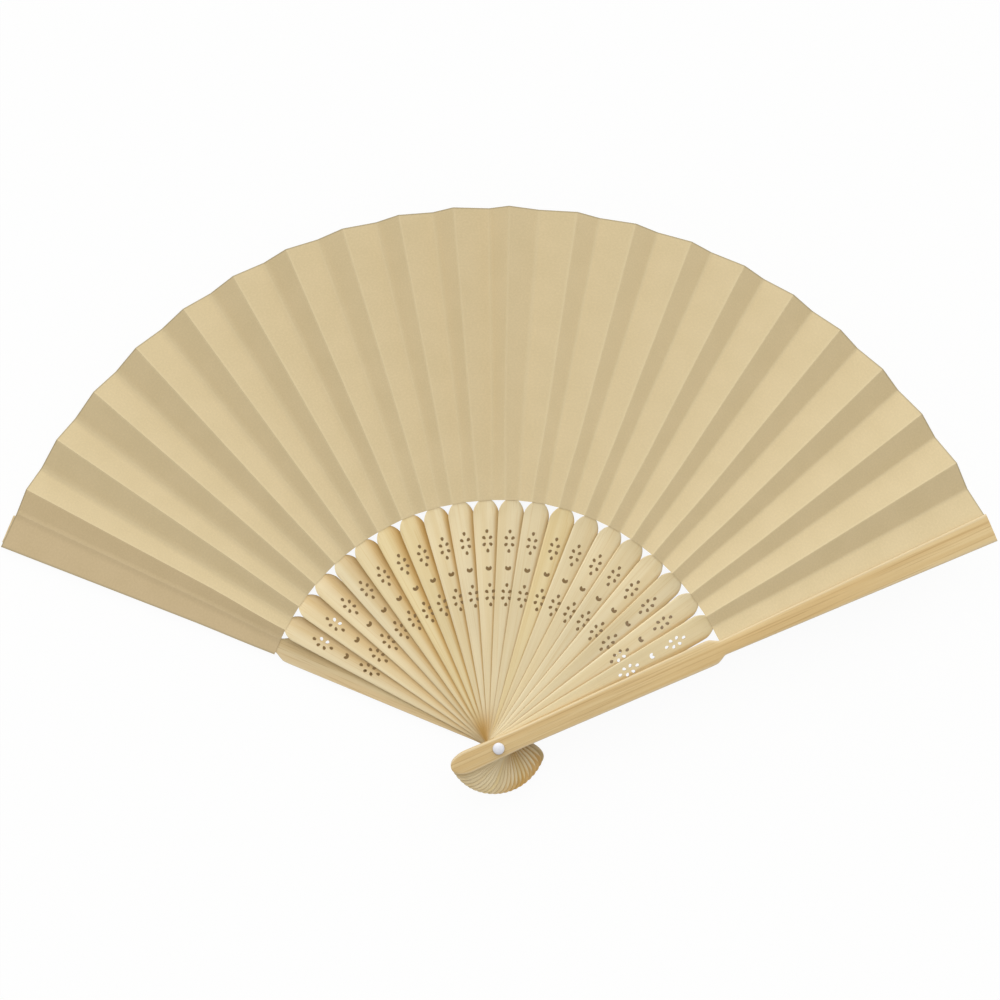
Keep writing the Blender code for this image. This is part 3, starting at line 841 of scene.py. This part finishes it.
def make_guard(name, index, bamboo_kind):
    """A guard with its grain and its slip, turned over if it is the back one."""
    flipped = index == 0
    mesh = guard_blank.copy()
    mesh.name = name
    for label, kind in (("grain", "FLOAT_VECTOR"), ("stick", "FLOAT"), ("cut", "FLOAT")):
        mesh.attributes.new(label, kind, "POINT")
    reaches, halves = zip(*guard_outline)
    for i, vertex in enumerate(mesh.vertices):
        x, y, z = vertex.co
        mesh.attributes["grain"].data[i].vector = (x, -y, -z) if flipped else (x, y, z)
        mesh.attributes["stick"].data[i].value = BACK_NUMBER if flipped else FRONT_NUMBER
        beside = ramp(abs(y) / np.interp(x, reaches, halves), 0.75, 0.95)
        # The sanded edges, which the front guard paints paler: partly bare wood, partly a painted
        # highlight.
        mesh.attributes["cut"].data[i].value = beside if z > GUARD_THICKNESS / 2 - SANDED else 0.0
        slide = ramp(x, *SLIP_STARTS) * (1.0 - ramp(x, *SLIP_ENDS))
        vertex.co.x += SLIPS[index] / 1000 * slide
    turn = Matrix.Translation((0.0, 0.0, stick_height(index)))
    turn = turn @ Matrix.Rotation(lie(index), 4, "Z")
    if flipped:
        turn = turn @ Matrix.Rotation(math.pi, 4, "X")
    mesh.transform(turn)
    mesh.materials.append(bamboo_kind)
    soften(mesh, 32.0)
    item = add_object(name, mesh)
    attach(item, stick_name(index))
    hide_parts(stick_name(index))
    return item


make_guard("back_guard_stick", 0, back_bamboo)
front_guard_stick = make_guard("front_guard_stick", RIB_COUNT + 1, front_bamboo)
print("guards: 2, vertices each:", len(front_guard_stick.data.vertices))

# %% [markdown]
# ## The leaf
# The leaf is one sheet, pleated so that a ridge and a valley lie beside every stick. Seen from
# the rivet all folds are straight rays, so the surface follows a rule: the angle and the height
# of a point depend only on how far across the panels it is and how far out. A Geometry Nodes
# tree bends a flat grid by this rule. The tools move rigid bodies, so the sheet is made in one
# piece for each stick, from its ridge over its valley to the next ridge. A point past the
# valley is placed by the next stick's direction and height. Shifts, slips and trims take each
# crease and edge off its even place, as the hand that made this fan did.

# %% The pleating tree
PER_STICK = (
    "Azimuth", "Number", "Height", "Rise", "Next height", "Next rise", "Edge shift",
    "Ridge shift", "Valley shift", "Next ridge shift", "Inner slip", "Next inner slip",
    "Ridge trim", "Valley trim", "Next ridge trim",
)
leaf_tree, given = new_tree(
    "pleated_leaf",
    [
        ("Half panel", "Float", HALF_PANEL),
        ("Panels", "Int", 2),
        ("Next turn", "Float", -4 * HALF_PANEL),
        ("Inner radius", "Float", LEAF_INNER),
        ("Outer radius", "Float", LEAF_OUTER),
        ("Thickness", "Float", 0.00016),
        ("Paper", "Material", None),
        *((name, "Float", 0.0) for name in PER_STICK),
    ],
)
t = leaf_tree
LEAF_ROWS, FREE_FROM = 15, 0.1200
columns = calc(t, "ADD", given["Panels"], 1.0)
inputs = {"Size X": 1.0, "Size Y": 1.0, "Vertices X": columns, "Vertices Y": LEAF_ROWS}
grid = node(t, "GeometryNodeMeshGrid", inputs).outputs[0]
x, y, _ = split(t, place_of(t))
across = product(t, calc(t, "ADD", x, 0.5), given["Panels"])
outwards = calc(t, "ADD", y, 0.5)
span = calc(t, "SUBTRACT", given["Outer radius"], given["Inner radius"])
uncut = calc(t, "MULTIPLY_ADD", outwards, span, given["Inner radius"])
freed = smooth_range(t, uncut, LEAF_INNER, FREE_FROM)
print("rows of the leaf's grid:", LEAF_ROWS)

# %% The three creases and the panels between them
half = given["Half panel"]
to_ridge = calc(t, "MULTIPLY_ADD", given["Ridge shift"], freed, half)
to_ridge = calc(t, "ADD", to_ridge, given["Edge shift"])
to_valley = calc(t, "SUBTRACT", product(t, given["Valley shift"], freed), half)
to_next = calc(t, "MULTIPLY_ADD", given["Next ridge shift"], freed, half)
on_ridge = calc(t, "MAXIMUM", calc(t, "SUBTRACT", 1.0, across), 0.0)
on_next = calc(t, "MAXIMUM", calc(t, "SUBTRACT", across, 1.0), 0.0)
on_valley = calc(t, "SUBTRACT", 1.0, calc(t, "ADD", on_ridge, on_next))


def weighed(ridge, valley, following):
    """The three creases' values, each by how near the point is to its crease."""
    both = calc(t, "MULTIPLY_ADD", valley, on_valley, product(t, ridge, on_ridge))
    return calc(t, "MULTIPLY_ADD", following, on_next, both)


def crease_height(turn, level, rise):
    """Height of a crease: the plane of its stick's pleat, followed as far as the crease is off."""
    return calc(t, "ADD", level, product(t, rise, reach, calc(t, "DIVIDE", turn, half)))


trim = weighed(given["Ridge trim"], given["Valley trim"], given["Next ridge trim"])
reach = calc(t, "SUBTRACT", uncut, product(t, trim, outwards))
slip = weighed(given["Inner slip"], given["Inner slip"], given["Next inner slip"])
reach = calc(t, "MULTIPLY_ADD", slip, calc(t, "SUBTRACT", 1.0, outwards), reach)
turn = weighed(to_ridge, to_valley, calc(t, "ADD", given["Next turn"], to_next))
angle = calc(t, "ADD", given["Azimuth"], turn)
height = weighed(
    crease_height(to_ridge, given["Height"], given["Rise"]),
    crease_height(to_valley, given["Height"], given["Rise"]),
    crease_height(to_next, given["Next height"], given["Next rise"]),
)
x = product(t, reach, calc(t, "COSINE", angle))
y = product(t, reach, calc(t, "SINE", angle))
print("creases placed")

# %% The sheet's thickness
kept = store(t, grid, "sheet", vector(t, across, uncut, given["Number"]), "FLOAT_VECTOR")
bent = moved(t, kept, Position=vector(t, x, y, height))
down = vector(t, 0.0, 0.0, product(t, given["Thickness"], -1.0))
lifted = vector(t, 0.0, 0.0, product(t, given["Thickness"], 0.5))
top = moved(t, bent, Offset=lifted)
inputs = {"Mesh": top, "Offset": down, "Offset Scale": 1.0, "Individual": False}
walls = node(t, "GeometryNodeExtrudeMesh", inputs, mode="FACES")
shell = t.nodes.new("GeometryNodeJoinGeometry")
for part in (node(t, "GeometryNodeFlipFaces", {0: top}), walls):
    t.links.new(part.outputs[0], shell.inputs[0])
closed = node(t, "GeometryNodeMergeByDistance", {"Geometry": shell.outputs[0], "Distance": WELD})
end_tree(t, closed.outputs[0], given["Paper"])
print("pleating tree:", len(t.nodes), "nodes")


# %% Where the leaf lies on each stick
def leaf_level(index):
    """Height of the leaf's middle on a stick's centre line."""
    if index == 0:
        over = GUARD_THICKNESS / 2 - BED_DEPTH + GLUE_GAP + LEAF_THICKNESS / 2
    elif index == RIB_COUNT + 1:
        over = BED_DEPTH - GUARD_THICKNESS / 2 - GLUE_GAP - LEAF_THICKNESS / 2
    else:
        over = (STRIP_THICKNESS + LEAF_HEIGHT) / 2 + LEAF_LIFT
    return stick_height(index) + over


def leaf_rise(index):
    """How fast a ridge climbs over the stick's middle as the leaf spreads."""
    return PLEAT_RISE if 0 < index <= RIB_COUNT else 0.0


def fold_point(index, side, reach):
    """A point on the ridge (side 1) or the valley (side -1) of a stick."""
    turn = lie(index) + side * HALF_PANEL
    return Vector((reach * math.cos(turn), reach * math.sin(turn), leaf_level(index)))


def crease_turn(shifts, index):
    """How far a crease is turned from its even place beside its leaning stick."""
    return math.radians(shifts[index] - LEANS[index])


def right_way_out(mesh):
    """Sharp creases and rims, and faces that point outwards."""
    body = bmesh.new()
    body.from_mesh(mesh)
    bmesh.ops.recalc_face_normals(body, faces=body.faces)
    body.to_mesh(mesh)
    body.free()
    soften(mesh, 15.0)


print("leaf on the first rib at", round(leaf_level(1) * 1000, 2), "mm")

# %% The folds of the leaf
# How far creases and edges are off their even places: shifts in degrees, the rest in millimetres.
RIDGE_SHIFTS = (0.0, 0.2, 0.2, 0.0, -0.25, -0.5, -0.55, -0.55, -0.65, -0.45, 0.0)
RIDGE_SHIFTS += (0.4, -0.6, -0.6, -0.5, -0.35, -0.1, 0.0, 0.15, 0.1, 0.0, -0.4)
VALLEY_SHIFTS = (-0.05, 0.65, 0.45, 0.05, -0.4, -0.6, -0.9, -0.85, -1.1, -0.95, -0.65)
VALLEY_SHIFTS += (0.3, 0.1, 0.0, 0.2, 0.2, 0.25, 0.3, 0.35, 0.2, -0.05, 0.0)
TRIMS = (0.2, 0.3, 0.5, 0.6, 0.5, 0.4, 0.2, 0.0, 0.0, 0.0, 0.0)
TRIMS += (0.1, 0.1, 0.0, 0.0, 0.1, 0.25, 0.35, 0.5, 0.55, 0.4, 0.2)
VALLEY_CUT, EDGE_SHIFT = 0.45, 0.8
INNER_SLIPS = (-1.5, -1.5, -1.4, -1.2, -1.0, -0.9, -0.75, -0.5, -0.45, -0.45, -0.4)
INNER_SLIPS += (-0.25, -0.15, -0.2, -0.2, -0.2, -0.35, -0.45, -0.55, -0.7, -0.75, -0.8)

for index in range(RIB_COUNT + 2):
    last = index > RIB_COUNT
    values = {
        "Azimuth": lie(index),
        "Panels": 1 if last else 2,
        "Height": leaf_level(index),
        "Rise": leaf_rise(index),
        "Number": float(index),
        "Ridge shift": crease_turn(RIDGE_SHIFTS, index),
        "Valley shift": crease_turn(VALLEY_SHIFTS, index),
        "Edge shift": math.radians(EDGE_SHIFT) if index == 0 else 0.0,
        "Inner slip": INNER_SLIPS[index] / 1000,
        "Ridge trim": TRIMS[index] / 1000,
        "Valley trim": (TRIMS[index] + VALLEY_CUT) / 1000,
        "Paper": leaf_paper,
    }
    if not last:
        values["Next ridge shift"] = crease_turn(RIDGE_SHIFTS, index + 1)
        values["Next turn"] = lie(index + 1) - lie(index)
        values["Next inner slip"] = INNER_SLIPS[index + 1] / 1000
        values["Next ridge trim"] = TRIMS[index + 1] / 1000
        values["Next height"] = leaf_level(index + 1)
        values["Next rise"] = leaf_rise(index + 1)
    name = "leaf_last_panel" if last else f"leaf_fold_{index:02d}"
    piece = grow(name, bpy.data.meshes.new("sheet"), leaf_tree, values)
    right_way_out(piece.data)
    if last:
        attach(piece, "front_guard")
        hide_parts("leaf_end_panel")
    else:
        start, end = fold_point(index, -1, LEAF_INNER), fold_point(index + 1, 1, LEAF_INNER)
        end.z = start.z
        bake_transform(piece)
        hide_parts(f"leaf_pleat_{index:02d}")
print("leaf pieces:", RIB_COUNT + 2)

# %% [markdown]
# ## The rivet
# All the sticks turn on one plastic rivet: a shank with a flat head behind the fan, and a domed
# cap pressed onto its end in front. Both are bodies of revolution, so a profile is turned about
# the axis in many steps.


# %% The rivet's two parts
def turned(name, profile, body, cad_node):
    """A profile of radius and height, turned about Z."""
    shape = bmesh.new()
    corners = [shape.verts.new((radius, 0.0, height)) for radius, height in profile]
    edges = [shape.edges.new(pair) for pair in zip(corners, corners[1:])]
    bmesh.ops.spin(
        shape, geom=corners + edges, cent=(0, 0, 0), axis=(0, 0, 1), angle=2 * math.pi, steps=64
    )
    bmesh.ops.remove_doubles(shape, verts=shape.verts, dist=WELD)
    bmesh.ops.recalc_face_normals(shape, faces=shape.faces)
    mesh = bpy.data.meshes.new(name)
    shape.to_mesh(mesh)
    shape.free()
    mesh.materials.append(rivet_plastic)
    soften(mesh, 40.0)
    item = add_object(name, mesh)
    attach(item, body)
    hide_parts(cad_node)
    return item


PIN, SOCKET, HEAD = 0.0011, BORE / 2, 0.0021
PIN_LEAD, SOCKET_DEPTH, HEAD_CHAMFER = 0.0003, 0.0006, 0.0003
CAP_EDGE, CAP_DOME, CAP_BEVEL = 0.0004, 0.0009, 0.0001

turns = [math.pi / 2 * i / 14 for i in range(15)]
cap = [(HEAD * math.sin(a), CAP_Z + CAP_EDGE + CAP_DOME * math.cos(a)) for a in turns]
cap += [(HEAD, CAP_Z + CAP_BEVEL), (HEAD - CAP_BEVEL, CAP_Z), (SOCKET, CAP_Z)]
cap += [(SOCKET, CAP_Z + SOCKET_DEPTH), (0.0, CAP_Z + SOCKET_DEPTH)]
turned("rivet_dome", cap, "back_guard", "rivet_cap")
top = CAP_Z + SOCKET_DEPTH - PLAY
shank = [(0.0, top), (PIN - PIN_LEAD, top), (PIN, top - PIN_LEAD), (PIN, BACK_HEAD)]
shank += [(HEAD, BACK_HEAD), (HEAD, HEAD_CHAMFER), (HEAD - HEAD_CHAMFER, 0.0), (0.0, 0.0)]
turned("rivet_shank", shank, "back_guard", "rivet_pin")
print("rivet made of 2 parts")

# %% [markdown]
# ## Floor, light and camera
# The fan lies open on a white floor, seen from almost straight above. The floor looks white to
# the camera by itself, so the light on the fan can stay plain. Where the ribs lie close over the
# floor, a deep shade is painted on it in brown, and that is what shows through the piercings.
# Ambient occlusion tells where the fan lies over it, because the closed fan hides less of it. A
# few flowers of the outer ribs look past the painted shade at white floor.

# %% The floor
# The painted shade lies between these reaches in metres and these bearings in degrees. Each
# window is a rib's number, a flower's reach and how far it looks to the side.
PAINTED_SHADE_BROWN = (0.235, 0.148, 0.060, 1.0)
SHADE_INSIDE, SHADE_OUTSIDE = (0.040, 0.046), (0.0785, 0.0805)
SHADE_RIGHT, SHADE_LEFT = (30.6, 32.2), (152.4, 153.6)
WINDOWS = ((1, UPPER_FLOWER, -0.0014), (2, UPPER_FLOWER, -0.0014), (19, LOWER_FLOWER, -0.0037))
WINDOW_EDGE, COVERED = (0.0019, 0.0022), (0.45, 0.65)
FLOOR_GREY, FLOOR_GLOW = (0.86, 0.86, 0.86, 1.0), 0.94

floor_material, tree = new_material("white_floor")
rays = node(tree, "ShaderNodeLightPath").outputs
direct = calc(tree, "MAXIMUM", rays["Is Camera Ray"], rays["Is Glossy Ray"])
direct = calc(tree, "MAXIMUM", direct, rays["Is Transmission Ray"])
place = node(tree, "ShaderNodeTexCoord").outputs["Object"]
distance = node(tree, "ShaderNodeVectorMath", {0: place}, operation="LENGTH").outputs["Value"]
x, y, _ = split(tree, place)
bearing = calc(tree, "DEGREES", calc(tree, "ARCTAN2", y, x))
openness = node(tree, "ShaderNodeAmbientOcclusion", {"Distance": 0.06}, samples=4).outputs["AO"]
limits = [
    smooth_range(tree, distance, *SHADE_OUTSIDE, 1.0, 0.0),
    smooth_range(tree, bearing, *SHADE_RIGHT),
    smooth_range(tree, bearing, *SHADE_LEFT, 1.0, 0.0),
    smooth_range(tree, distance, *SHADE_INSIDE),
    smooth_range(tree, openness, *COVERED, 1.0, 0.0),
]
for index, flower_reach, side in WINDOWS:
    gap = Vector((flower_reach + SLIPS[index] / 1000, side, 0.0))
    inputs = {0: place, 1: Matrix.Rotation(lie(index), 4, "Z") @ gap}
    off = node(tree, "ShaderNodeVectorMath", inputs, operation="DISTANCE").outputs["Value"]
    limits.append(smooth_range(tree, off, *WINDOW_EDGE))
# Painted shade: the floor is brown where the ribs lie close over it.
look = blend_colours(tree, product(tree, *limits), (1.0, 1.0, 1.0, 1.0), PAINTED_SHADE_BROWN)
glow = node(tree, "ShaderNodeEmission", {"Color": look, "Strength": 1.0}).outputs[0]
matt = node(tree, "ShaderNodeBsdfDiffuse", {"Color": FLOOR_GREY}).outputs[0]
inputs = {0: product(tree, direct, FLOOR_GLOW), 1: matt, 2: glow}
mixed = node(tree, "ShaderNodeMixShader", inputs)
node(tree, "ShaderNodeOutputMaterial", {0: mixed.outputs[0]})

sheet = bmesh.new()
bmesh.ops.create_grid(sheet, x_segments=1, y_segments=1, size=3.0)
floor_mesh = bpy.data.meshes.new("floor")
sheet.to_mesh(floor_mesh)
sheet.free()
floor_mesh.materials.append(floor_material)
floor = add_object("floor", floor_mesh)
print("floor made")

# %% The light
SKY_LEVEL, KEY_LEVEL = 0.52, 2.50

world = bpy.data.worlds.new("studio")
bpy.context.scene.world = world
world.use_nodes = True
tree = world.node_tree
tree.nodes.clear()
seen = node(tree, "ShaderNodeLightPath").outputs["Is Camera Ray"]
level = calc(tree, "MULTIPLY_ADD", seen, 1.0 - SKY_LEVEL, SKY_LEVEL)
tint = blend_colours(tree, seen, (1.0, 0.965, 0.885, 1.0), (1.0, 1.0, 1.0, 1.0))
sky = node(tree, "ShaderNodeBackground", {"Color": tint, "Strength": level})
node(tree, "ShaderNodeOutputWorld", {0: sky.outputs[0]})

key_light = bpy.data.lights.new("key", "SUN")
key_light.energy = KEY_LEVEL
key_light.color = (0.95, 0.99, 1.0)
key_light.angle = math.radians(90.0)
key = add_object("key", key_light)
key.rotation_euler = (math.radians(-52.0), 0.0, math.radians(5.0))
bpy.context.scene.view_settings.view_transform = "Standard"
print("light made")

# %% The camera
camera_data = bpy.data.cameras.new("camera")
camera_data.sensor_width = 36.0
camera_data.lens = 70.96
camera = add_object("camera", camera_data)
camera.location = (-0.0206, 0.1221, 0.712)
camera.rotation_euler = (math.radians(-2.826), math.radians(-1.749), 0.0)
bpy.context.scene.camera = camera
print("camera", camera.location)
